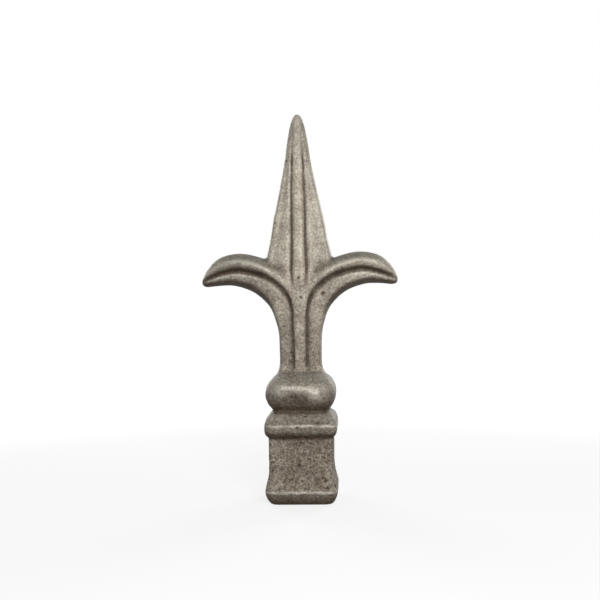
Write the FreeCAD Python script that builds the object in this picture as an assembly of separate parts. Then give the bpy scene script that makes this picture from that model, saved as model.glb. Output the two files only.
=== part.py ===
"""Cast iron spear finial that caps a square railing picket. It is one casting, so it is one solid.

Units are millimetres. +Z runs up the picket, X across the two leaves, and -Y is the front.
The origin is the centre of the foot, on the plane that it stands on. The mould parts at the plane Y = 0,
so the rear face mirrors the front face there, and the left side mirrors the right side at X = 0.
"""
import FreeCAD, Part
import math
import os

Vector = FreeCAD.Vector

# Overall size: 6 1/8 in high and 3 1/8 in across the leaves
overall_height = 155.6
leaf_span = 79.4

# Square base: a 1 in body between two mouldings that stand proud of it
body_width = 25.6
moulding_width = 28.9
upright_corner = 1.7
foot_corner = 3.0
foot_rim_width = 22.7
foot_edge_height = 5.1
foot_round_angle = 20.0
flare_height = 8.3
body_height = 13.2
collar_under_height = 2.8
collar_under_angle = 10.0
collar_band_height = 1.9
collar_slope_height = 2.1
collar_slope_run = 0.53
collar_round_height = 2.4
collar_round_angle = 25.0
collar_corner = 2.2
shoulder_corner = 4.6

# Bulb: a cushion of square plan between a short neck and the stem
neck_width = 22.6
neck_height = 0.8
neck_hollow = 0.35
bulb_width = 28.2
bulb_height = 14.9
bulb_side_round = 8.6
bulb_corner = 6.4
bulb_foot_overlap = 0.4

# Socket that slips over a 3/4 in square picket
picket_width = 19.05
socket_clearance = 0.35
socket_depth = 27.0
socket_end_inset = 0.15
socket_corner = 1.0
socket_end_round = 0.6
socket_lead_in = 0.4

# Stem and leaves. Depths are measured forward from the parting plane
stem_width = 17.5
leaf_root_height = 63.8
leaf_top_height = 99.8
leaf_depth = 6.7
leaf_edge_depth = 0.4
leaf_groove_share = 0.66
leaf_band_share = 0.79
seam_overlap = 1.0

# Blade. Its rib, grooves and faces are measured where it leaves the leaves, a little below the leaf tops
blade_root_drop = 2.8
blade_root_width = 26.4
blade_rib_depth = 5.5
blade_groove_depth = 3.6
blade_face_depth = 4.6
blade_edge_depth = 3.8
blade_groove_spacing = 5.6
blade_groove_width = 1.5
blade_edge_bevel = 0.9


def mix(a, b, share):
    """The value that lies the given share of the way from a to b."""
    return a + (b - a) * share


def rounded_square(half, corner, height):
    """A level square wire with round corners: four lines and four arcs, at the given height."""
    inner = half - corner
    slant = inner + corner * math.sqrt(0.5)
    axis = Vector(0, 0, 1)
    edges = []
    for turn in range(4):
        rotation = FreeCAD.Rotation(axis, 90 * turn)
        start = rotation.multVec(Vector(half, -inner, height))
        end = rotation.multVec(Vector(half, inner, height))
        middle = rotation.multVec(Vector(slant, slant, height))
        after = rotation.multVec(Vector(inner, half, height))
        edges.append(Part.LineSegment(start, end).toShape())
        edges.append(Part.Arc(end, middle, after).toShape())
    return Part.Wire(edges)


def ring_slab(stations):
    """A solid of square plan through (half width, corner radius, height) stations."""
    wires = [rounded_square(half, corner, height) for half, corner, height in stations]
    return Part.makeLoft(wires, True, len(wires) == 2)


def round_over(outer, inner, outer_height, inner_height, start, corners):
    """Stations of a bulge that is level at the inner half width.

    It is a quarter ellipse without its first stretch: start is the angle in degrees at which it sets off from
    the outer half width, and 0 there would be upright.
    """
    first = math.radians(start)
    stations = []
    for step in range(6):
        angle = mix(first, math.pi / 2, step / 5)
        half = mix(inner, outer, math.cos(angle) / math.cos(first))
        height = mix(outer_height, inner_height, (math.sin(angle) - math.sin(first)) / (1 - math.sin(first)))
        stations.append((half, mix(corners[0], corners[1], step / 5), height))
    return stations


def fused(solids):
    """One solid out of several that overlap or share a face."""
    return solids[0].multiFuse(solids[1:]).removeSplitter()


# Levels of the base and the bulb, each stacked on the one below, and the level of the blade's root
flare_top = foot_edge_height + flare_height
collar_bottom = flare_top + body_height
band_bottom = collar_bottom + collar_under_height
collar_edge = band_bottom + collar_band_height
slope_top = collar_edge + collar_slope_height
shoulder = slope_top + collar_round_height
neck_top = shoulder + neck_height
bulb_top = neck_top + bulb_height
blade_root_height = leaf_top_height - blade_root_drop


def make_base():
    """The socketed base: foot, flare, square body, collar, neck and bulb."""
    body = body_width / 2
    proud = moulding_width / 2
    slope_end = proud - collar_slope_run
    neck = neck_width / 2
    neck_corner = bulb_corner * neck_width / bulb_width
    foot_corners = (foot_corner, foot_corner)
    under_corners = (collar_corner, upright_corner)
    over_corners = (collar_corner, shoulder_corner)
    foot = round_over(proud, foot_rim_width / 2, foot_edge_height, 0, foot_round_angle, foot_corners)
    slabs = [ring_slab(foot)]
    flare = []
    for step in range(6):
        share = step / 5
        half = mix(body, proud, (1 - share) ** 2 * (1 + 1.5 * share))
        flare.append((half, mix(foot_corner, upright_corner, share), mix(foot_edge_height, flare_top, share)))
    slabs.append(ring_slab(flare))
    slabs.append(ring_slab([(body, upright_corner, flare_top), (body, upright_corner, collar_bottom)]))
    under = round_over(proud, body, band_bottom, collar_bottom, collar_under_angle, under_corners)
    slabs.append(ring_slab(under))
    slabs.append(ring_slab([(proud, collar_corner, band_bottom), (proud, collar_corner, collar_edge)]))
    slabs.append(ring_slab([(proud, collar_corner, collar_edge), (slope_end, collar_corner, slope_top)]))
    over = round_over(slope_end, neck, slope_top, shoulder, collar_round_angle, over_corners)
    slabs.append(ring_slab(over))
    hollow = []
    for step in range(5):
        share = step / 4
        half = neck + neck_hollow * (2 * share - 1) ** 2
        hollow.append((half, neck_corner, mix(shoulder - neck_hollow, neck_top + seam_overlap, share)))
    slabs.append(ring_slab(hollow))
    slabs.append(ring_slab(bulb_stations()))
    return fused(slabs)


def bulb_stations():
    """Stations up the bulb: the side is an arc that bulges to the full width near its middle height."""
    widest = bulb_width / 2
    centre = widest - bulb_side_round
    middle = neck_top + 0.455 * bulb_height
    low = math.asin((neck_top - bulb_foot_overlap - middle) / bulb_side_round)
    high = math.asin((bulb_top - middle) / bulb_side_round)
    stations = []
    for step in range(9):
        angle = mix(low, high, step / 8)
        half = centre + bulb_side_round * math.cos(angle)
        stations.append((half, bulb_corner * half / widest, middle + bulb_side_round * math.sin(angle)))
    return stations


def make_socket():
    """The square hole for the picket, a little narrower at its blind end, with a lead-in at its mouth."""
    mouth = (picket_width + 2 * socket_clearance) / 2
    end = mouth - socket_end_inset
    hole = ring_slab([(mouth, socket_corner, 0), (end, socket_corner, socket_depth)])
    end_edges = [edge for edge in hole.Edges if edge.BoundBox.ZMin > socket_depth - 0.01]
    hole = hole.makeFillet(socket_end_round, end_edges)
    lead = ring_slab([(mouth + socket_lead_in, socket_corner, 0), (mouth, socket_corner, socket_lead_in)])
    return hole.fuse(lead)


def chord_parameters(points):
    """Parameters from 0 to 1 that grow with the distance from point to point."""
    lengths = [0.0]
    for first, second in zip(points, points[1:]):
        lengths.append(lengths[-1] + (second - first).Length)
    return [length / lengths[-1] for length in lengths]


def relief_loft(fronts, guide):
    """A solid through sections, each given as the points of its front curve.

    Every rear curve mirrors its front curve at the parting plane. All curves share the parameters of the
    guide section, so that each ridge and groove stays in line from section to section.
    """
    forward = chord_parameters(guide)
    backward = [1 - value for value in reversed(forward)]
    wires = []
    for front in fronts:
        back = [Vector(point.x, -point.y, point.z) for point in reversed(front)]
        edges = []
        for points, parameters in ((front, forward), (back, backward)):
            curve = Part.BSplineCurve()
            curve.interpolate(Points=points, Parameters=parameters)
            edges.append(curve.toShape())
        if abs(front[0].y) > 0:
            edges.append(Part.LineSegment(back[-1], front[0]).toShape())
        wires.append(Part.Wire(edges))
    return Part.makeLoft(wires, True, False)


# Right leaf and its half of the stem, in stations from the bulb to the leaf's tip. A station is a line in
# the front view from the upper line of the leaf to its lower line.
# Columns: run and rise of the upper end, run and rise of the lower end, shares of the station's width at
# which the ridge, the groove and the edge of the lower band lie, share of the leaf's depth at the upper
# line and at the ridge, and how flat the ridge is. A run of 1 reaches the leaf's tip. A rise of 1 reaches
# the leaf's top, and a rise of -1 the top of the bulb.
leaf_stations = [
    (0.000, -1.260, 0.060, -1.260, 0.18, 0.385, 0.91, 1.30, 1.30, 0.62),
    (0.000, -1.025, 0.034, -1.025, 0.18, 0.385, 0.91, 1.08, 1.08, 0.62),
    (0.000, -0.880, 0.008, -0.880, 0.18, 0.385, 0.91, 0.965, 0.965, 0.62),
    (0.000, -0.440, -0.003, -0.440, 0.18, 0.385, 0.91, 0.94, 0.94, 0.62),
    (0.000, 0.020, 0.000, 0.015, 0.18, 0.380, 0.91, 0.94, 0.94, 0.62),
    (0.000, 0.180, 0.015, 0.142, 0.18, 0.375, 0.905, 0.945, 0.945, 0.62),
    (0.000, 0.330, 0.045, 0.236, 0.18, 0.365, 0.90, 0.955, 0.955, 0.60),
    (0.004, 0.475, 0.084, 0.335, 0.19, 0.375, 0.89, 0.955, 0.965, 0.58),
    (0.033, 0.605, 0.126, 0.401, 0.22, 0.405, 0.88, 0.92, 0.975, 0.54),
    (0.097, 0.728, 0.186, 0.461, 0.255, 0.445, 0.87, 0.64, 0.99, 0.49),
    (0.205, 0.838, 0.267, 0.523, 0.27, 0.475, 0.86, 0.34, 1.00, 0.50),
    (0.335, 0.921, 0.368, 0.575, 0.27, 0.510, 0.85, 0, 0.985, 0.53),
    (0.465, 0.972, 0.482, 0.612, 0.275, 0.540, 0.85, 0, 0.955, 0.56),
    (0.597, 1.000, 0.602, 0.634, 0.285, 0.570, 0.85, 0, 0.90, 0.58),
    (0.725, 0.988, 0.716, 0.636, 0.31, 0.610, 0.855, 0, 0.81, 0.59),
    (0.832, 0.947, 0.816, 0.630, 0.34, 0.640, 0.86, 0, 0.70, 0.56),
    (0.911, 0.876, 0.897, 0.622, 0.37, 0.640, 0.84, 0, 0.56, 0.48),
    (0.961, 0.803, 0.955, 0.625, 0.395, 0.615, 0.80, 0, 0.40, 0.40),
    (0.990, 0.738, 0.989, 0.644, 0.42, 0.595, 0.76, 0, 0.24, 0.33),
    (1.000, 0.698, 1.000, 0.667, 0.42, 0.590, 0.75, 0, 0.10, 0.30),
]


def leaf_level(rise):
    """The height at a rise from the leaf's root, up to the leaf's top or down to the top of the bulb."""
    reach = leaf_top_height - leaf_root_height
    if rise < 0:
        reach = leaf_root_height - bulb_top
    return leaf_root_height + reach * rise


def make_leaf():
    """The right leaf and the right half of the stem, trimmed at the middle plane."""
    stem_half = stem_width / 2
    fronts = []
    for row in leaf_stations:
        run_top, rise_top, run_under, rise_under, ridge, groove, band, top_share, depth_share, flat = row
        top = Vector(mix(-seam_overlap, leaf_span / 2, run_top), 0, leaf_level(rise_top))
        under = Vector(mix(stem_half, leaf_span / 2, run_under), 0, leaf_level(rise_under))
        depth = leaf_depth * depth_share
        top_depth = max(leaf_depth * top_share, min(leaf_edge_depth, 0.5 * depth))
        fade = min(1, 2.2 * depth_share - 0.4)
        low = depth * mix(0.9, leaf_groove_share, max(0, fade))
        face = depth * mix(0.86, leaf_band_share, max(0, fade))
        shoulder_share = mix(ridge, groove, flat)
        lip = mix(shoulder_share, groove, 0.5)
        across = [
            (0, top_depth),
            (0.16 * ridge, mix(top_depth, depth, 0.34)),
            (0.50 * ridge, mix(top_depth, depth, 0.72)),
            (ridge, depth),
            (shoulder_share, mix(low, depth, 0.90)),
            (lip, mix(low, depth, 0.45)),
            (groove, low),
            (2 * groove - lip, mix(low, face, 0.60)),
            (mix(groove, band, 0.38), mix(low, face, 0.97)),
            (mix(groove, band, 0.70), face),
            (band, 0.93 * face),
            (mix(band, 1, 0.55), 0.66 * face),
            (mix(band, 1, 0.90), 0.28 * face),
            (1, 0),
        ]
        fronts.append([top + (under - top) * share + Vector(0, -y, 0) for share, y in across])
    leaf = relief_loft(fronts, fronts[10])
    right_side = Part.makeBox(leaf_span, leaf_span, overall_height, Vector(0, -leaf_span / 2, 0))
    return leaf.common(right_side)


# Blade stations. Columns: share of the way from the blade's root to its tip, share of the root's width,
# shares of the root's depths for rib, groove, face beside the groove and edge, share of the groove spacing.
blade_stations = [
    (-0.330, 0.05, 1.00, 1.45, 1.18, 1.40, 0.12),
    (-0.270, 0.13, 1.10, 1.67, 1.31, 1.56, 0.25),
    (-0.215, 0.27, 1.15, 1.72, 1.355, 1.59, 0.54),
    (-0.165, 0.48, 1.16, 1.65, 1.33, 1.48, 0.88),
    (-0.110, 0.74, 1.11, 1.36, 1.20, 1.28, 1.04),
    (-0.050, 0.93, 1.04, 1.10, 1.06, 1.10, 1.06),
    (0.010, 1.00, 1.00, 1.00, 1.00, 1.00, 1.03),
    (0.090, 0.940, 0.97, 0.97, 0.97, 0.97, 1.00),
    (0.240, 0.812, 0.91, 0.91, 0.91, 0.91, 0.95),
    (0.400, 0.660, 0.85, 0.86, 0.85, 0.84, 0.91),
    (0.560, 0.508, 0.78, 0.80, 0.77, 0.74, 0.86),
    (0.700, 0.390, 0.70, 0.76, 0.68, 0.63, 0.78),
    (0.830, 0.305, 0.60, 0.73, 0.58, 0.53, 0.66),
    (0.915, 0.226, 0.51, 0.68, 0.48, 0.42, 0.54),
    (0.960, 0.168, 0.41, 0.56, 0.38, 0.32, 0.42),
    (0.988, 0.106, 0.26, 0.37, 0.24, 0.20, 0.27),
    (1.000, 0.045, 0.10, 0.14, 0.09, 0.06, 0.10),
]


def make_blade():
    """The spear blade with its round middle rib and the two grooves beside it."""
    fronts = []
    for along, width, rib_part, groove_part, face_part, edge_part, spacing in blade_stations:
        height = mix(blade_root_height, overall_height, along)
        half = width * blade_root_width / 2
        rib = rib_part * blade_rib_depth
        low = groove_part * blade_groove_depth
        face = face_part * blade_face_depth
        edge = edge_part * blade_edge_depth
        groove = spacing * blade_groove_spacing / 2
        reach = spacing * blade_groove_width / 2
        bevel = min(blade_edge_bevel, 0.3 * half)
        face_start = groove + 1.1 * reach
        side = [
            (0.45 * (groove - reach), mix(low, rib, 0.98)),
            (groove - reach, mix(low, rib, 0.80)),
            (groove - 0.4 * reach, mix(low, rib, 0.22)),
            (groove, low),
            (groove + 0.5 * reach, mix(low, face, 0.45)),
            (face_start, mix(low, face, 0.97)),
            (mix(face_start, half - bevel, 0.35), mix(face, edge, 0.30)),
            (mix(face_start, half - bevel, 0.75), mix(face, edge, 0.72)),
            (half - bevel, edge),
            (half - 0.3 * bevel, 0.62 * edge),
            (half, 0),
        ]
        front = [Vector(-x, -depth, height) for x, depth in reversed(side)]
        front.append(Vector(0, -rib, height))
        front.extend(Vector(x, -depth, height) for x, depth in side)
        fronts.append(front)
    return relief_loft(fronts, fronts[7])


def make_finial():
    """The whole casting."""
    right = make_leaf()
    left = right.mirror(Vector(0, 0, 0), Vector(1, 0, 0))
    head = fused([right, left, make_blade()])
    body = make_base().fuse(head).removeSplitter()
    return body.cut(make_socket())


finial = make_finial()
os.makedirs("parts", exist_ok=True)
finial.exportStep("parts/finial_casting.step")
box = finial.BoundBox
print("solids", len(finial.Solids), "valid", finial.isValid(), "faces", len(finial.Faces))
print("volume", round(finial.Volume))
print("box", [round(value, 2) for value in (box.XMin, box.XMax, box.YMin, box.YMax, box.ZMin, box.ZMax)])
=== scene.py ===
"""Visual model of a cast iron spear finial: the casting's skin, its finish, the light and the camera.

Lengths are in metres. +Z is up the spear, X runs across the leaves and -Y is the front.
"""
import math

import bmesh
import bpy
import numpy as np
from mathutils import Matrix, Vector


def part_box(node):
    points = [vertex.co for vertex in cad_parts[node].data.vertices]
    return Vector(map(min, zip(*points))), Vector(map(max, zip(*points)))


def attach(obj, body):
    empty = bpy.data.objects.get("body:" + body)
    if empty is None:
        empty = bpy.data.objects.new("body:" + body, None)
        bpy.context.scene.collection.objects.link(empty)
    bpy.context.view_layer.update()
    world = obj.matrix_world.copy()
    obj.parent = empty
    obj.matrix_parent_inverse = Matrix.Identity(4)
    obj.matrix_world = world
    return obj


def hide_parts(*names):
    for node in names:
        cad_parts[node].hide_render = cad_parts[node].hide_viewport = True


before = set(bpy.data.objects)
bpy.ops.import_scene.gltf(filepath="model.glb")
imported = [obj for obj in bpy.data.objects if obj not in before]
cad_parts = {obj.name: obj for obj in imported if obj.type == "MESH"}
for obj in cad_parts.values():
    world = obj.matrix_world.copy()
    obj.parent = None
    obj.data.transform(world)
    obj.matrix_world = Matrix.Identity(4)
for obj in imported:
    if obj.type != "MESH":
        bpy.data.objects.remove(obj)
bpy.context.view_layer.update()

# Skin of the casting: its quads, the rounds of smoothing, and how far sand, waves and pits sink it
skin_pitch = 0.00046
smoothing_rounds = 5
smoothing_steps = (0.5, -0.51)
easing_rounds = 40
relief_rounds = (10, 60)
sand_depth = 0.00022
sand_sizes = (0.00075, 0.0014)
sand_shares = (0.6, 0.4)
sand_patch_size = 0.011
sand_patch_gain = 2.2
sand_patch_lift = -0.3
least_sand_patch = 0.5
smooth_sand = 0.4
swell_depth = 0.00014
swell_size = 0.0042
socket_sand = 0.25
pit_depth = 0.00022
pit_count = 90
pit_radii = (0.0004, 0.0009)
leaf_pit = (0.0093, -0.006, 0.0832)
leaf_pit_radius = 0.0011
grain_seed = 7

# Places on the casting. In each pair a share is 0 at the first number and 1 at the second
socket_half = 0.0101
socket_top = 0.0275
foot_rim = (0.0002, 0.0010)
neck_level = 0.0360
neck_half = 0.0102
stem_foot = 0.0515
stem_above_foot = (stem_foot, stem_foot + 0.0010)
stem_from_bulb = (stem_foot - 0.0010, stem_foot - 0.0002)
stem_groove_top = (0.0790, 0.0730)
stem_top = (0.0800, 0.0720)
stem_left_rib = (-0.0035, -0.0045)
stem_left_top = (0.0760, 0.0700)
web_level = 0.0850
web_side = (0.0060, 0.0020)
root_side_inner = (0.0042, 0.0052)
root_side_outer = (0.0160, 0.0140)
root_level_lower = (0.0800, 0.0840)
root_level_upper = (0.1040, 0.1010)
leaf_level = (0.0700, 0.0760)
leaf_side = (0.0070, 0.0150)
leaf_tip_side = (0.0270, 0.0350)
right_leaf_side = (0.0120, 0.0180)
right_leaf_level = 0.0750
blade_level = (0.0860, 0.0910)
blade_side = (0.0125, 0.0105)
blade_groove_side = (0.0060, 0.0050)
blade_taper = (0.1550, 0.0935)
blade_root_half = 0.0124
blade_rib_half = 0.0016
blade_right_from = 0.0020
bulb_front = (-0.0118, -0.0130)
bulb_middle = 0.0440
bulb_side = (0.0080, 0.0110)

# How far the sand mould rounds each place off, and over what width
stem_foot_easing = 0.95
stem_foot_width = 0.0020
neck_easing = 0.5
neck_width = 0.0010
root_easing = 0.9
root_hollow = 0.00006
stem_groove_easing = 0.30
blade_groove_easing = 0.20
blade_groove_share = 0.60
blade_groove_blend = 0.0010

# Relief and hollow: the height of one step, the depth of a full hollow, and how each place weakens them
relief_step = 0.00008
relief_limit = 2
full_hollow = 0.0004
right_leaf_shallow = 0.5
web_shallow = 0.7
web_height = 0.0050
stem_relief_cut = 0.55
stem_hollow_gain = 0.5
foot_relief_cut = 0.9
foot_hollow_cut = 0.75
foot_fade_width = 0.0030

# Wear and painted highlight: edges that stand out, brighter as they look up, which is painted highlight; the
# two rubbed edges as (level, width), worn and with a painted highlight; the streak on the bulb's front, a
# painted highlight; and the scar there
edge_relief = (0.3, 1.2)
edge_highlight_looking_up = (-0.02, 0.23)
blade_wear_and_highlight_cut = 0.7
wear_and_highlight_patch_size = 0.0016
least_wear_and_highlight = 0.55
line_waver = 0.0005
line_waver_size = 0.0024
line_patch_size = 0.0026
line_patch_gain = 1.5
line_patch_lift = 0.15
least_line_patch = 0.5
line_clear = 0.5
foot_line = (0.0052, 0.00045)
collar_line = (0.0312, 0.00050)
line_reach = (0.0130, 0.0138)
wear_and_highlight_heights = (0.036, 0.040, 0.100, 0.110)
wear_and_highlight_levels = (0.3, 0.9, 0.9, 0.4)
parting_width = 0.00035
parting_wear = 0.45
streak_highlight = 0.95
streak_waver = 0.0022
streak_waver_size = 0.0030
streak_side = (0.0085, 0.0070)
streak_level = 0.0462
streak_drop = 0.0016
streak_drop_side = (0.0030, 0.0060)
streak_width = 0.0009
streak_widening = 0.0010
streak_widening_side = (0.0020, 0.0050)
scar_middle = (-0.0016, 0.0414)
scar_half = (0.0066, 0.0032)
scar_fullness = 1.3

# How much darker each place is. All but the scar is painted shade: the leaves, the left one more, with their
# tops, low sides and tips, the blade's faces, the stem's left side, the bulb's sides, the socket's inside and
# all undersides. A leaf has a share all over and one more on its low side
scar_dark = 0.30
left_leaf_dark = (0.18, 0.34)
right_leaf_dark = (0.10, 0.22)
low_looking = (0.25, -0.25)
leaf_top_dark = 0.42
leaf_top_looking = (0.48, 0.83)
leaf_tip_dark = 0.45
leaf_tip_relief = (0.2, -0.3)
blade_left_dark = 0.02
blade_right_dark = 0.07
stem_left_dark = 0.12
bulb_side_dark = 0.12
bulb_side_height = 0.0060
socket_shade = 0.6
underside_shade_looking = (-0.1, -0.6)

# How light the skin is, and how sandy, at heights from the foot to the tip. The lightness is partly the
# iron's own tone and partly painted shade, which makes it darkest under the collar and on the foot's bottom
# round
tone_and_shade_heights = (0.0, 0.0012, 0.0045, 0.0060, 0.0255, 0.0264, 0.0276, 0.0286, 0.0345,
                0.0460, 0.0490, 0.0510, 0.0524, 0.0560, 0.0900, 0.1350, 0.1500)
tone_and_shade_levels = (0.28, 0.44, 0.58, 0.92, 0.90, 0.34, 0.28, 0.56, 0.65,
               0.68, 0.60, 0.66, 1.00, 0.94, 1.07, 1.10, 0.88)
sand_heights = (0.0045, 0.0070, 0.0265, 0.0290, 0.0345, 0.0370, 0.0500, 0.0540, 0.0800, 0.1000)
sand_levels = (0.70, 1.0, 1.0, 0.65, 0.65, 0.5, 0.5, 0.65, 0.5, 0.3)

# Iron: in the grooves, where the brown is partly scale and partly painted shade, on the sandy base, on the
# smoother skin, and where it is worn and carries a painted highlight
groove_and_shade_colour = (0.044, 0.029, 0.017)
base_colour = (0.208, 0.177, 0.143)
skin_colour = (0.285, 0.261, 0.217)
worn_and_highlight_colour = (0.38, 0.35, 0.30)

# How much of the groove's brown a low relief, a full hollow, an underside and a pit take on. In low relief,
# hollows and pits it is partly scale and partly painted shade; on undersides it is painted shade
relief_span = 1.5
lying_back_stops = ((0.0, 0.75), (0.45, 0.0))
hollow_brown = 0.8
underside_shade_share = 0.85
pit_edge = (0.1, 0.7)
pit_brown = 0.9

# Mottling: each noise as (size, detail), and its stops as (position, grey or colour)
speckle_noise = (0.0008, 3)
speckle_stops = ((0.30, (0.20, 0.19, 0.18)), (0.50, 0.5), (0.70, 0.80))
blotch_noise = (0.0016, 2)
blotch_stops = ((0.32, (0.19, 0.16, 0.13)), (0.50, 0.5), (0.68, (0.77, 0.785, 0.80)))
cloud_noise = (0.0065, 2)
cloud_stops = ((0.35, (0.37, 0.35, 0.325)), (0.65, (0.61, 0.61, 0.60)))
cloud_share = 0.75
bump_noise = (0.0011, 2)
bump_depth = 0.0013

# How each goes from the smooth skin to the sandy base, and what it is where worn
sandy_range = (0.3, 1.0)
speckle_shares = (0.6, 0.75)
blotch_shares = (0.15, 0.5)
skin_roughness = (0.58, 0.75)
worn_roughness = 0.45
skin_metal = (0.2, 0.0)
worn_metal = 0.5
iron_specular = 0.28
bump_strengths = (0.15, 1.0)

# Studio: the floor glows less near the object, so that its shadow stays
world_light = 0.22
floor_grey = 0.18
floor_reach = 6.0
floor_glow = (0.78, 1.0)
floor_glow_radii = (0.20, 0.65)
lamp_aim = (0, 0, 0.085)
lamps = (("key", (0.11, -0.51, 0.22), 0.22, 3.05),
         ("rear left", (-0.30, 0.46, 0.24), 0.25, 1.7),
         ("rear right", (0.30, 0.46, 0.24), 0.25, 1.7))

# Camera
camera_distance = 0.400
camera_azimuth = math.radians(3.2)
camera_roll = math.radians(-0.96)
camera_lens = 59.32
sensor_width = 36.0
aim_height = 0.0805


def merged_copy(node, name):
    """A copy of a solid's mesh with its loose triangles joined along their shared corners."""
    mesh = node.data.copy()
    builder = bmesh.new()
    builder.from_mesh(mesh)
    bmesh.ops.remove_doubles(builder, verts=builder.verts, dist=1e-7)
    builder.to_mesh(mesh)
    builder.free()
    mesh.materials.clear()
    copy = bpy.data.objects.new(name, mesh)
    bpy.context.scene.collection.objects.link(copy)
    return copy


def even_skin(source, name, pitch):
    """The source's surface laid out again in even small quads of the given pitch, as a new object."""
    remesh = source.modifiers.new("even", "REMESH")
    remesh.mode = "VOXEL"
    remesh.voxel_size = pitch
    remesh.adaptivity = 0.0
    graph = bpy.context.evaluated_depsgraph_get()
    mesh = bpy.data.meshes.new_from_object(source.evaluated_get(graph))
    mesh.name = name
    skin = bpy.data.objects.new(name, mesh)
    bpy.context.scene.collection.objects.link(skin)
    bpy.data.objects.remove(source)
    return skin


def read_vectors(items, field, width, kind=np.float64):
    """One field of a mesh's items as an array with the given number of columns."""
    values = np.empty(len(items) * width, kind)
    items.foreach_get(field, values)
    return values.reshape(-1, width) if width > 1 else values


def neighbour_mean(points, edges, counts):
    """For each point, the mean of the points that an edge joins to it."""
    total = np.zeros_like(points)
    np.add.at(total, edges[:, 0], points[edges[:, 1]])
    np.add.at(total, edges[:, 1], points[edges[:, 0]])
    return total / counts[:, None]


def smoothed(points, edges, counts, rounds):
    """The points after some rounds in which each goes half way to the mean of its neighbours."""
    points = points.copy()
    for _ in range(rounds):
        points += 0.5 * (neighbour_mean(points, edges, counts) - points)
    return points


def vertex_normals(points, quads):
    """Unit normals: the cross product of each quad's diagonals, summed at its corners, scaled to length 1."""
    cross = np.cross(points[quads[:, 2]] - points[quads[:, 0]], points[quads[:, 3]] - points[quads[:, 1]])
    normals = np.zeros_like(points)
    for corner in range(4):
        np.add.at(normals, quads[:, corner], cross)
    return normals / np.maximum(np.linalg.norm(normals, axis=1, keepdims=True), 1e-12)


def lattice_noise(points, cell, seed):
    """Smooth noise from 0 to 1. Random values sit on a cubic lattice of the given cell, and a point gets the
    eight values round it blended by 3t^2 - 2t^3 along each axis, where t is its place in the cell."""
    low = points.min(axis=0) - cell
    place = (points - low) / cell
    base = np.floor(place).astype(int)
    part = place - base
    blend = part * part * (3 - 2 * part)
    table = np.random.default_rng(seed).random(tuple(base.max(axis=0) + 2))
    total = np.zeros(len(points))
    for corner in range(8):
        step = np.array([corner & 1, corner >> 1 & 1, corner >> 2 & 1])
        weight = np.where(step, blend, 1 - blend).prod(axis=1)
        at = base + step
        total += weight * table[at[:, 0], at[:, 1], at[:, 2]]
    return total


def partway(values, none_at, full_at):
    """0 as far as none_at, 1 from full_at on, and straight between the two, which may run downwards."""
    return np.clip((values - none_at) / (full_at - none_at), 0, 1)


def hill(values, middle, width):
    """A bell curve: 1 at the middle, and exp(-d^2) at d widths from it."""
    return np.exp(-((values - middle) / width) ** 2)


def pitting(points, normals, weight):
    """Small pits left by the sand: each is a round hollow, 1 - r^2 deep at r radii from its middle.

    They lie at seeded random vertices, and one more is the pit on the front of the right leaf.
    """
    chance = np.random.default_rng(grain_seed + 10)
    middles = points[chance.choice(len(points), pit_count, replace=False, p=weight / weight.sum())]
    radii = chance.uniform(*pit_radii, pit_count)
    turned_away = np.where(normals[:, 1] < -0.5, 0.0, 1.0)
    nearest = np.argmin(((points - np.array(leaf_pit)) ** 2).sum(axis=1) + turned_away)
    middles = np.vstack([middles, points[nearest]])
    radii = np.append(radii, leaf_pit_radius)
    depth = np.zeros(len(points))
    for middle, radius in zip(middles, radii):
        away = ((points - middle) ** 2).sum(axis=1) / radius ** 2
        depth = np.maximum(depth, np.clip(1 - away, 0, 1))
    return depth


def on_blade(points):
    """1 on the blade above its root, and 0 on the leaves and the stem."""
    return partway(points[:, 2], *blade_level) * partway(np.abs(points[:, 0]), *blade_side)


def in_socket(points):
    """Whether a point lies in the socket."""
    return (np.abs(points[:, :2]).max(axis=1) < socket_half) & (points[:, 2] < socket_top)


def mould_softened(points, normals, edges, counts):
    """The corners that a sand mould can't hold sharp, carried towards the eased surface.

    The eased surface is the skin after easing_rounds of smoothing. A point goes there by the largest of
    five shares: a bell curve at the stem's foot and one at the neck, and straight ramps at the blade's
    hollow root, in the stem's grooves and in the blade's grooves.
    """
    z = points[:, 2]
    side = np.abs(points[:, 0])
    eased = smoothed(points, edges, counts, easing_rounds)
    hollow_depth = np.einsum("ij,ij->i", eased - points, normals)
    stem_share = stem_foot_easing * hill(z, stem_foot, stem_foot_width)
    outside = np.abs(points[:, :2]).max(axis=1) > neck_half
    neck_share = neck_easing * outside * hill(z, neck_level, neck_width)
    beside = partway(side, *root_side_inner) * partway(side, *root_side_outer)
    band = partway(z, *root_level_lower) * partway(z, *root_level_upper)
    root_share = root_easing * beside * band * partway(hollow_depth, 0, root_hollow)
    groove_share = stem_groove_easing * partway(z, *stem_above_foot) * partway(z, *stem_groove_top)
    blade_half = blade_root_half * partway(z, *blade_taper)
    within = partway(blade_groove_share * blade_half - side, 0, blade_groove_blend)
    blade_share = blade_groove_easing * on_blade(points) * within * partway(side, *blade_groove_side)
    most = np.max([stem_share, neck_share, root_share, groove_share, blade_share], axis=0)
    return points + most[:, None] * (eased - points)


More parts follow.
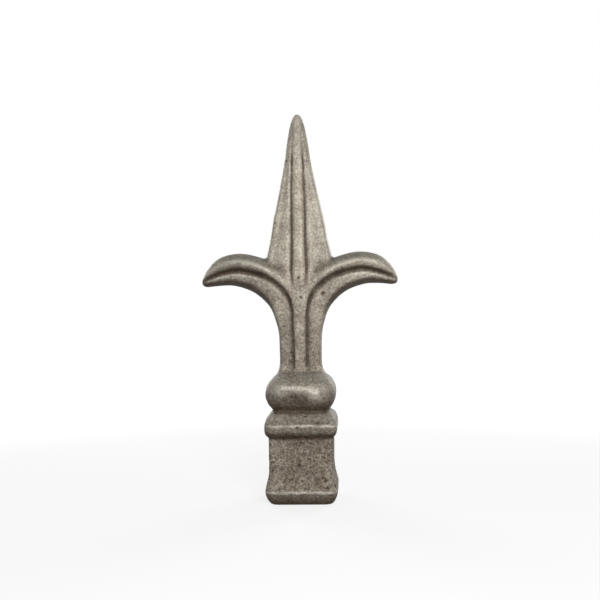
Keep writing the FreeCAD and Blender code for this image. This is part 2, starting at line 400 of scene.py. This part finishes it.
def relief_and_hollow(points, normals, edges, counts):
    """How far each point stands out, in relief steps, and how deep it lies in a groove, from 0 to 1.

    Both are the height over a smoother surface, along the normal: for the relief over the skin after the
    first of relief_rounds, and for the hollow, which is 1 at full_hollow, over the skin after both. On the
    stem the relief of a groove is weaker and its hollow wider, and both fade out above the bulb.
    """
    x, _, z = points.T
    heights = []
    smooth = points
    for rounds in relief_rounds:
        smooth = smoothed(smooth, edges, counts, rounds)
        heights.append(np.einsum("ij,ij->i", points - smooth, normals))
    relief = np.clip(heights[0] / relief_step, -relief_limit, relief_limit)
    hollow = partway(-heights[1], 0, full_hollow)
    hollow *= 1 - right_leaf_shallow * partway(x, *right_leaf_side) * (z > right_leaf_level)
    hollow *= 1 - web_shallow * partway(np.abs(x), *web_side) * hill(z, web_level, web_height)
    on_stem = partway(z, *stem_from_bulb) * partway(z, *stem_top)
    fade = hill(z, stem_foot, foot_fade_width)
    weaker = (1 - stem_relief_cut * on_stem) * (1 - foot_relief_cut * fade)
    relief = np.where(relief < 0, relief * weaker, relief)
    hollow = np.clip(hollow * (1 + stem_hollow_gain * on_stem), 0, 1) * (1 - foot_hollow_cut * fade)
    return relief, hollow


def wear_and_painted_highlight(points, normals, relief):
    """How far the skin is made bright, from 0 to 1, which is the most of four kinds of wear and painted
    highlight.

    Edges that stand out, brighter as they look up, which is a painted highlight; the upper edges of the foot
    and the collar in a bell curve across the line, worn and with a painted highlight; the mould's parting
    line round the sides, worn; and a streak on the bulb's front, a painted highlight. Noise breaks all four.
    """
    x, y, z = points.T
    side = np.abs(x)
    broken = least_wear_and_highlight + (1 - least_wear_and_highlight) * lattice_noise(points, wear_and_highlight_patch_size, grain_seed + 5)
    # Painted highlight: edges that stand out count more as they look up
    wear_and_highlight = partway(relief, *edge_relief) * partway(normals[:, 2], *edge_highlight_looking_up) * broken
    wear_and_highlight *= np.interp(z, wear_and_highlight_heights, wear_and_highlight_levels)
    wear_and_highlight *= 1 - blade_wear_and_highlight_cut * on_blade(points) * (side > blade_rib_half)

    # The foot and collar lines: wear with a painted highlight
    level = z + line_waver * (lattice_noise(points, line_waver_size, grain_seed + 6) - 0.5)
    patchy = line_patch_gain * lattice_noise(points, line_patch_size, grain_seed + 4) + line_patch_lift
    line_patchiness = np.clip(patchy, least_line_patch, 1)
    out_far = partway(np.abs(points[:, :2]).max(axis=1), *line_reach)
    for edge, width in (foot_line, collar_line):
        beside_line = np.abs(level - edge) < 2 * width
        line = hill(level, edge, width) * out_far * line_patchiness
        wear_and_highlight = np.maximum(wear_and_highlight * (1 - line_clear * beside_line), line)

    parting = hill(y, 0, parting_width) * np.where(in_socket(points), 0, 1 - np.abs(normals[:, 1]))
    wear_and_highlight = np.maximum(wear_and_highlight, parting_wear * parting * broken)

    # The streak on the bulb's front is a painted highlight
    ragged = z + streak_waver * (lattice_noise(points, streak_waver_size, grain_seed + 7) - 0.5)
    middle = streak_level - streak_drop * partway(x, *streak_drop_side)
    width = streak_width + streak_widening * partway(x, *streak_widening_side)
    streak = hill(ragged, middle, width) * partway(side, *streak_side) * partway(y, *bulb_front)
    return np.maximum(wear_and_highlight, streak_highlight * streak * broken)


def bulb_scar(points):
    """The rough dark patch low on the bulb's front: an oval, full inside and falling to 0 at its rim."""
    across = (points[:, 0] - scar_middle[0]) / scar_half[0]
    up = (points[:, 2] - scar_middle[1]) / scar_half[1]
    return partway(points[:, 1], *bulb_front) * np.clip(scar_fullness - across ** 2 - up ** 2, 0, 1)


def tone_and_painted_shade(points, normals, relief, scar):
    """How light the skin is, about 1 on the stem: a level for the height, times a factor for each place. The
    level holds painted shade under the collar and on the foot's bottom round.

    The scar is darker by a share of its own. The leaves' undersides, tops and tips, the blade's faces, the
    left side of the stem, the bulb's sides and the socket's inside are each darker by a share of their own,
    which is painted shade.
    """
    x, _, z = points.T
    side = np.abs(x)
    up = normals[:, 2]
    leaf = partway(side, *leaf_side) * partway(z, *leaf_level)
    low_side = partway(up, *low_looking)
    tip = partway(side, *leaf_tip_side) * partway(relief, *leaf_tip_relief) * low_side
    stem_left = partway(x, *stem_left_rib) * partway(z, *stem_left_top) * (z > stem_from_bulb[0])
    bulb_round = partway(side, *bulb_side) * np.exp(-((z - bulb_middle) / bulb_side_height) ** 4)
    # Painted shade: the level by height is darkest under the collar and on the foot's bottom round; the
    # scar's share is the iron's own
    tone_and_shade = np.interp(z, tone_and_shade_heights, tone_and_shade_levels) * (1 - scar_dark * scar)
    # Painted shade from here on: the leaves, the left more, more on low sides, tops and tips; the blade's
    # faces; the stem's left side; the bulb's sides; the socket's inside
    left_leaf = left_leaf_dark[0] + left_leaf_dark[1] * low_side
    right_leaf = right_leaf_dark[0] + right_leaf_dark[1] * low_side
    tone_and_shade *= 1 - leaf * np.where(x < 0, left_leaf, right_leaf)
    tone_and_shade *= 1 - leaf_top_dark * leaf * partway(up, *leaf_top_looking)
    tone_and_shade *= 1 - on_blade(points) * np.where(x > blade_right_from, blade_right_dark, blade_left_dark)
    tone_and_shade *= 1 - leaf_tip_dark * tip
    tone_and_shade *= 1 - stem_left_dark * stem_left
    tone_and_shade *= 1 - bulb_side_dark * bulb_round
    return tone_and_shade * np.where(in_socket(points), socket_shade, 1.0)


def make_skin():
    """The casting's skin: the solid's surface in even quads, smoothed, then sunk along its normals.

    Each round of smoothing carries every point half way to its neighbours' mean and a little more back
    out, so nothing shrinks. A point then sinks by sand_depth times fine noise, plus swell_depth times
    coarse noise, plus pit_depth times the pits, so the grain never stands out. The level foot keeps its
    place, and the socket sinks a quarter as far. What the finish reads is kept at each vertex: relief,
    hollow, wear with painted highlight, painted underside shade, sandy, tone with painted shade and pits.
    """
    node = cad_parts["finial_casting"]
    skin = even_skin(merged_copy(node, "plain_casting"), "finial_skin", skin_pitch)
    mesh = skin.data
    points = read_vectors(mesh.vertices, "co", 3)
    edges = read_vectors(mesh.edges, "vertices", 2, np.int32)
    quads = read_vectors(mesh.loops, "vertex_index", 1, np.int32).reshape(-1, 4)
    counts = np.bincount(edges.ravel(), minlength=len(points)).astype(float)
    for _ in range(smoothing_rounds):
        for step in smoothing_steps:
            points += step * (neighbour_mean(points, edges, counts) - points)
    points = mould_softened(points, vertex_normals(points, quads), edges, counts)
    normals = vertex_normals(points, quads)

    relief, hollow = relief_and_hollow(points, normals, edges, counts)
    # Wear and painted highlight
    wear_and_highlight = wear_and_painted_highlight(points, normals, relief)
    scar = bulb_scar(points)
    # Tone with painted shade
    tone_and_shade = tone_and_painted_shade(points, normals, relief, scar)
    sandy = np.maximum(np.interp(points[:, 2], sand_heights, sand_levels), scar)
    # Painted shade on surfaces that look down
    underside_shade = partway(normals[:, 2], *underside_shade_looking)

    rough = partway(points[:, 2], *foot_rim) * np.where(in_socket(points), socket_sand, 1.0)
    fine = sum(part * lattice_noise(points, size, grain_seed + index)
               for index, (part, size) in enumerate(zip(sand_shares, sand_sizes)))
    coarse = lattice_noise(points, swell_size, grain_seed + 2)
    patchy = sand_patch_gain * lattice_noise(points, sand_patch_size, grain_seed + 3) + sand_patch_lift
    patch = np.clip(patchy, least_sand_patch, 1)
    pits = pitting(points, normals, rough * sandy ** 2)
    sand = sand_depth * (smooth_sand + (1 - smooth_sand) * sandy) * patch * fine
    points -= normals * (rough * (sand + swell_depth * coarse + pit_depth * pits))[:, None]

    points = np.clip(points, *(np.array(corner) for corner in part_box("finial_casting")))
    mesh.vertices.foreach_set("co", points.astype(np.float32).ravel())
    kept = {"relief": relief, "hollow": hollow, "wear_and_highlight": wear_and_highlight, "underside_shade": underside_shade, "sandy": sandy, "tone_and_shade": tone_and_shade,
            "pits": pits}
    for name, values in kept.items():
        mesh.attributes.new(name, "FLOAT", "POINT").data.foreach_set("value", values.astype(np.float32))
    mesh.polygons.foreach_set("use_smooth", np.ones(len(mesh.polygons), bool))
    mesh.update()
    return skin


def ramp(tree, fac, stops, place):
    """A colour ramp node fed by a value, with (position, grey or colour) stops."""
    node = tree.nodes.new("ShaderNodeValToRGB")
    node.location = place
    elements = node.color_ramp.elements
    while len(elements) < len(stops):
        elements.new(0.5)
    for element, (position, colour) in zip(elements, stops):
        element.position = position
        element.color = (*colour, 1) if isinstance(colour, tuple) else (colour, colour, colour, 1)
    tree.links.new(fac, node.inputs["Fac"])
    return node.outputs["Color"]


def noise(tree, coordinates, size, detail, place):
    """Noise whose blotches are about the given size across, in metres."""
    node = tree.nodes.new("ShaderNodeTexNoise")
    node.location = place
    node.inputs["Scale"].default_value = 1 / size
    node.inputs["Detail"].default_value = detail
    tree.links.new(coordinates, node.inputs["Vector"])
    return node.outputs["Fac"]


def blend_colours(tree, kind, share, first, second, place):
    """A mix of two colours. The share may be a number or a socket."""
    node = tree.nodes.new("ShaderNodeMix")
    node.location = place
    node.data_type = "RGBA"
    node.blend_type = kind
    if isinstance(share, (int, float)):
        node.inputs["Factor"].default_value = share
    else:
        tree.links.new(share, node.inputs["Factor"])
    for socket, value in ((node.inputs[6], first), (node.inputs[7], second)):
        if isinstance(value, tuple):
            socket.default_value = (*value, 1)
        else:
            tree.links.new(value, socket)
    return node.outputs[2]


def stored(tree, name, place):
    """A value kept on the mesh under the given name."""
    node = tree.nodes.new("ShaderNodeAttribute")
    node.location = place
    node.attribute_name = name
    return node.outputs["Fac"]


def ranged(tree, value, low, high, out_low, out_high, place):
    """The value carried from one range to another, and held at its ends."""
    node = tree.nodes.new("ShaderNodeMapRange")
    node.location = place
    node.inputs["From Min"].default_value = low
    node.inputs["From Max"].default_value = high
    node.inputs["To Min"].default_value = out_low
    node.inputs["To Max"].default_value = out_high
    tree.links.new(value, node.inputs["Value"])
    return node.outputs["Result"]


def blend_values(tree, share, first, second, place):
    """A mix of two values. Each may be a number or a socket."""
    node = tree.nodes.new("ShaderNodeMix")
    node.location = place
    for socket, value in ((node.inputs[0], share), (node.inputs[2], first), (node.inputs[3], second)):
        if isinstance(value, (int, float)):
            socket.default_value = value
        else:
            tree.links.new(value, socket)
    return node.outputs[0]


def by_sand(tree, sandy, smooth_value, sandy_value, place):
    """A value that goes from its smooth to its sandy end as the skin gets rougher."""
    return ranged(tree, sandy, *sandy_range, smooth_value, sandy_value, place)


def mottling(tree, coordinates, size, detail, stops, x, y):
    """Noise of the given size, turned into tones for an overlay by the given stops."""
    return ramp(tree, noise(tree, coordinates, size, detail, (x, y)), stops, (x + 200, y))


def iron_colour(tree, coordinates, wear_and_highlight, sandy):
    """The iron's colour: the skin times its tone, which holds painted shade, the groove's brown by relief,
    hollow and underside, partly scale and partly painted shade, three overlays of noise, then the worn colour
    by wear and painted highlight, and the groove's brown again in the pits."""
    relief = stored(tree, "relief", (-1800, 500))
    level = ranged(tree, relief, -relief_span, relief_span, 0, 1, (-1600, 500))
    hollow = ranged(tree, stored(tree, "hollow", (-1800, 700)), 0, 1, 0, hollow_brown, (-1600, 600))
    # Painted shade on undersides
    underside_shade = ranged(tree, stored(tree, "underside_shade", (-1800, 900)), 0, 1, 0, underside_shade_share, (-1600, 900))
    # The pits take the groove's brown: partly scale, partly painted shade
    pits = ranged(tree, stored(tree, "pits", (-1800, -150)), *pit_edge, 0, pit_brown, (-800, -100))
    tone_and_shade = stored(tree, "tone_and_shade", (-1800, 1050))

    plain_share = by_sand(tree, sandy, 0, 1, (-1600, 700))
    plain = blend_colours(tree, "MIX", plain_share, skin_colour, base_colour, (-1300, 700))
    # The tone holds painted shade
    toned = blend_colours(tree, "MULTIPLY", 1.0, plain, tone_and_shade, (-1250, 800))
    # The groove's brown in low relief and hollows: partly scale, partly painted shade
    lying_back = ramp(tree, level, lying_back_stops, (-1400, 500))
    grooved = blend_colours(tree, "MIX", lying_back, toned, groove_and_shade_colour, (-1200, 600))
    recessed = blend_colours(tree, "MIX", hollow, grooved, groove_and_shade_colour, (-1100, 500))
    # Painted shade on undersides, in the groove's brown
    shaded = blend_colours(tree, "MIX", underside_shade, recessed, groove_and_shade_colour, (-1050, 450))

    speckle = mottling(tree, coordinates, *speckle_noise, speckle_stops, -1500, 100)
    speckle_share = by_sand(tree, sandy, *speckle_shares, (-1200, 350))
    grained = blend_colours(tree, "OVERLAY", speckle_share, shaded, speckle, (-1000, 400))
    blotch = mottling(tree, coordinates, *blotch_noise, blotch_stops, -1500, -100)
    blotch_share = by_sand(tree, sandy, *blotch_shares, (-1200, 200))
    mottled = blend_colours(tree, "OVERLAY", blotch_share, grained, blotch, (-900, 400))
    cloud = mottling(tree, coordinates, *cloud_noise, cloud_stops, -1500, -300)
    clouded = blend_colours(tree, "OVERLAY", cloud_share, mottled, cloud, (-800, 300))

    # The worn colour goes on by wear and painted highlight
    worn_and_highlit = blend_colours(tree, "MIX", wear_and_highlight, clouded, worn_and_highlight_colour, (-600, 300))
    return blend_colours(tree, "MIX", pits, worn_and_highlit, groove_and_shade_colour, (-400, 300))


def cast_iron():
    """Bare grey iron as it leaves the sand, mottled warm grey, dark in the grooves with partly painted shade,
    and bright where worn and where a highlight is painted.

    Wear and the painted highlight make it smoother and more metallic. The sandy base is rougher and has the
    stronger bump.
    """
    material = bpy.data.materials.new("bare cast iron")
    material.use_nodes = True
    tree = material.node_tree
    shader = tree.nodes["Principled BSDF"]
    texture_space = tree.nodes.new("ShaderNodeTexCoord")
    texture_space.location = (-1800, 0)
    coordinates = texture_space.outputs["Object"]
    wear_and_highlight = stored(tree, "wear_and_highlight", (-1800, 300))
    sandy = stored(tree, "sandy", (-1800, 150))
    tree.links.new(iron_colour(tree, coordinates, wear_and_highlight, sandy), shader.inputs["Base Color"])

    roughness = by_sand(tree, sandy, *skin_roughness, (-1000, -300))
    roughness = blend_values(tree, wear_and_highlight, roughness, worn_roughness, (-600, -300))
    tree.links.new(roughness, shader.inputs["Roughness"])
    metal = by_sand(tree, sandy, *skin_metal, (-1000, -450))
    metal = blend_values(tree, wear_and_highlight, metal, worn_metal, (-600, -500))
    tree.links.new(metal, shader.inputs["Metallic"])
    shader.inputs["Specular IOR Level"].default_value = iron_specular

    bump = tree.nodes.new("ShaderNodeBump")
    bump.location = (-400, -600)
    bump.inputs["Distance"].default_value = bump_depth
    tree.links.new(by_sand(tree, sandy, *bump_strengths, (-1000, -550)), bump.inputs["Strength"])
    tree.links.new(noise(tree, coordinates, *bump_noise, (-1300, -700)), bump.inputs["Height"])
    tree.links.new(bump.outputs["Normal"], shader.inputs["Normal"])
    return material


def add_light(name, place, size, power):
    """A square soft light at a place, turned to the lamps' aim."""
    light = bpy.data.lights.new(name, "AREA")
    light.shape = "SQUARE"
    light.size = size
    light.energy = power
    holder = bpy.data.objects.new(name, light)
    holder.location = place
    holder.rotation_euler = (Vector(lamp_aim) - Vector(place)).to_track_quat("-Z", "Y").to_euler()
    bpy.context.scene.collection.objects.link(holder)


def seen_directly(tree, place):
    """1 for what the camera sees, also in a gloss or through glass, and 0 for light on a surface."""
    path = tree.nodes.new("ShaderNodeLightPath")
    path.location = place
    total = path.outputs["Is Camera Ray"]
    for index, name in enumerate(("Is Glossy Ray", "Is Transmission Ray")):
        most = tree.nodes.new("ShaderNodeMath")
        most.operation = "MAXIMUM"
        most.location = (place[0] + 200 * (index + 1), place[1])
        tree.links.new(total, most.inputs[0])
        tree.links.new(path.outputs[name], most.inputs[1])
        total = most.outputs[0]
    return total


def make_surround():
    """A world that is white to the camera, in a gloss and through glass, and dim as a light."""
    world = bpy.data.worlds.new("studio")
    bpy.context.scene.world = world
    world.use_nodes = True
    tree = world.node_tree
    tree.nodes.clear()
    out = tree.nodes.new("ShaderNodeOutputWorld")
    mix = tree.nodes.new("ShaderNodeMixShader")
    dim = tree.nodes.new("ShaderNodeBackground")
    dim.inputs["Color"].default_value = (1, 1, 1, 1)
    dim.inputs["Strength"].default_value = world_light
    white = tree.nodes.new("ShaderNodeBackground")
    white.inputs["Color"].default_value = (1, 1, 1, 1)
    white.inputs["Strength"].default_value = 1.0
    tree.links.new(seen_directly(tree, (-700, 200)), mix.inputs["Fac"])
    tree.links.new(dim.outputs[0], mix.inputs[1])
    tree.links.new(white.outputs[0], mix.inputs[2])
    tree.links.new(mix.outputs[0], out.inputs["Surface"])


def make_floor():
    """A pale floor: a grey that takes the object's shadow, and a glow that grows to white away from it."""
    mesh = bpy.data.meshes.new("floor")
    corners = [(x * floor_reach, y * floor_reach, 0) for x, y in ((-1, -1), (1, -1), (1, 1), (-1, 1))]
    mesh.from_pydata(corners, [], [(0, 1, 2, 3)])
    floor = bpy.data.objects.new("floor", mesh)
    bpy.context.scene.collection.objects.link(floor)
    material = bpy.data.materials.new("pale floor")
    material.use_nodes = True
    tree = material.node_tree
    tree.nodes.clear()
    out = tree.nodes.new("ShaderNodeOutputMaterial")
    add = tree.nodes.new("ShaderNodeAddShader")
    matt = tree.nodes.new("ShaderNodeBsdfDiffuse")
    matt.inputs["Color"].default_value = (floor_grey, floor_grey, floor_grey, 1)
    glow = tree.nodes.new("ShaderNodeEmission")
    glow.inputs["Color"].default_value = (1, 1, 1, 1)
    coordinates = tree.nodes.new("ShaderNodeTexCoord")
    away = tree.nodes.new("ShaderNodeVectorMath")
    away.operation = "LENGTH"
    tree.links.new(coordinates.outputs["Object"], away.inputs[0])
    sweep = ranged(tree, away.outputs["Value"], *floor_glow_radii, *floor_glow, (-900, -200))
    level = tree.nodes.new("ShaderNodeMath")
    level.operation = "MULTIPLY"
    tree.links.new(sweep, level.inputs[1])
    tree.links.new(seen_directly(tree, (-900, 200)), level.inputs[0])
    tree.links.new(level.outputs[0], glow.inputs["Strength"])
    tree.links.new(matt.outputs[0], add.inputs[0])
    tree.links.new(glow.outputs[0], add.inputs[1])
    tree.links.new(add.outputs[0], out.inputs["Surface"])
    mesh.materials.append(material)


def make_studio():
    """The surround, the floor, a soft lamp above the front and two behind the object, one on each side."""
    make_surround()
    make_floor()
    for lamp in lamps:
        add_light(*lamp)


def make_camera():
    """The photograph's view: level, a little to the right of the front, with a slight roll."""
    data = bpy.data.cameras.new("camera")
    data.sensor_width = sensor_width
    data.lens = camera_lens
    data.clip_start = 0.01
    data.clip_end = 20
    camera = bpy.data.objects.new("camera", data)
    bpy.context.scene.collection.objects.link(camera)
    aim = Vector((0, 0, aim_height))
    back = Vector((math.sin(camera_azimuth), -math.cos(camera_azimuth), 0))
    turn = (-back).to_track_quat("-Z", "Y").to_matrix().to_4x4()
    place = Matrix.Translation(aim + camera_distance * back)
    camera.matrix_world = place @ turn @ Matrix.Rotation(camera_roll, 4, "Z")
    bpy.context.scene.camera = camera


bpy.context.scene.view_settings.view_transform = "Standard"
skin = make_skin()
skin.data.materials.append(cast_iron())
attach(skin, "root")
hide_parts("finial_casting")
make_studio()
make_camera()
